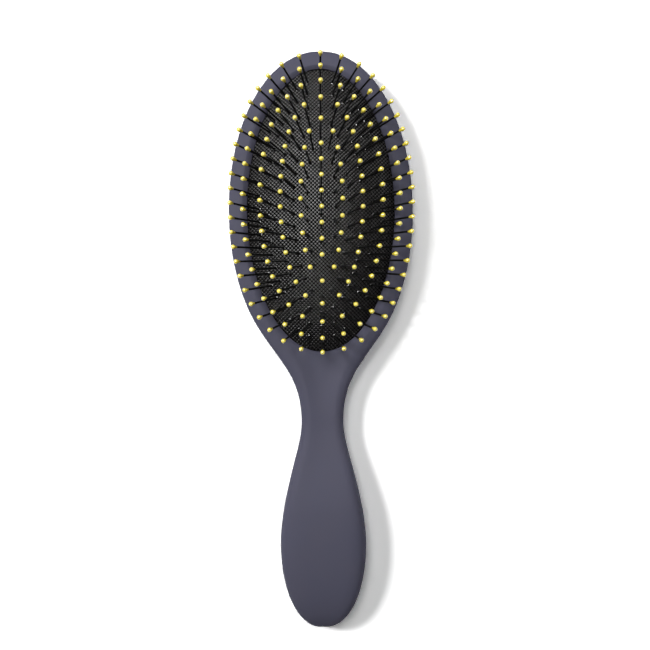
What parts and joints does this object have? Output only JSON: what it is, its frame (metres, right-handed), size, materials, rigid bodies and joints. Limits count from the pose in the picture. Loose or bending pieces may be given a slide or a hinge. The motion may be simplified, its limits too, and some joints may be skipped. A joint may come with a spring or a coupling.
{
  "type": "detangling brush",
  "caption": "Oval cushion hairbrush with a rounded handle, a domed black pad with ball-tipped pins and a two-part plastic body.",
  "frame": {"origin": "under the middle of the brush's length and width, on the plane that its back rests on", "axes": "+Y from the handle to the head's end, +Z along the pins away from the back, +X to the right with the pins facing the viewer and the head up"},
  "size_m": [0.0704, 0.22, 0.0386],
  "materials": {
    "body": "soft-touch matt slate",
    "cushion": "black rubber with a fine woven face",
    "ring": "matt black",
    "pins": "black nylon",
    "tips": "glossy yellow"
  },
  "bodies": {
    "brush": {"front_shell": "body", "back_shell": "body", "cushion": "cushion", "cushion_ring": "ring"},
    "oval_1": {"pins_oval_1_right": "pins", "pins_oval_1_left": "pins", "tips_oval_1_right": "tips", "tips_oval_1_left": "tips"},
    "oval_2": {"pins_oval_2_right": "pins", "pins_oval_2_left": "pins", "tips_oval_2_right": "tips", "tips_oval_2_left": "tips"},
    "oval_3": {"pins_oval_3_right": "pins", "pins_oval_3_left": "pins", "tips_oval_3_right": "tips", "tips_oval_3_left": "tips"},
    "oval_4": {"pins_oval_4_right": "pins", "pins_oval_4_left": "pins", "tips_oval_4_right": "tips", "tips_oval_4_left": "tips"},
    "oval_5": {"pins_oval_5_right": "pins", "pins_oval_5_left": "pins", "tips_oval_5_right": "tips", "tips_oval_5_left": "tips"},
    "middle_row": {"pins_middle_row": "pins", "tips_middle_row": "tips"}
  },
  "joints": [
    {"name": "cushion_press", "type": "slide", "parent": "brush", "child": "middle_row", "axis": [0, 0, -1], "range_m": [0, 0.004], "stiffness_N_per_m": 60, "deforming": ["cushion"]},
    {"name": "oval_5_press", "type": "slide", "parent": "brush", "child": "oval_5", "axis": [0, 0, -1], "range_m": [0, 0.00374], "stiffness_N_per_m": 150, "deforming": ["cushion"]},
    {"name": "oval_4_press", "type": "slide", "parent": "brush", "child": "oval_4", "axis": [0, 0, -1], "range_m": [0, 0.00324], "stiffness_N_per_m": 230, "deforming": ["cushion"]},
    {"name": "oval_3_press", "type": "slide", "parent": "brush", "child": "oval_3", "axis": [0, 0, -1], "range_m": [0, 0.00261], "stiffness_N_per_m": 280, "deforming": ["cushion"]},
    {"name": "oval_2_press", "type": "slide", "parent": "brush", "child": "oval_2", "axis": [0, 0, -1], "range_m": [0, 0.00191], "stiffness_N_per_m": 320, "deforming": ["cushion"]},
    {"name": "oval_1_press", "type": "slide", "parent": "brush", "child": "oval_1", "axis": [0, 0, -1], "range_m": [0, 0.00113], "stiffness_N_per_m": 370, "deforming": ["cushion"]}
  ],
  "couplings": [
    {"joint": "oval_5_press", "follows": "cushion_press", "ratio": 0.933},
    {"joint": "oval_4_press", "follows": "cushion_press", "ratio": 0.807},
    {"joint": "oval_3_press", "follows": "cushion_press", "ratio": 0.65},
    {"joint": "oval_2_press", "follows": "cushion_press", "ratio": 0.474},
    {"joint": "oval_1_press", "follows": "cushion_press", "ratio": 0.279}
  ]
}
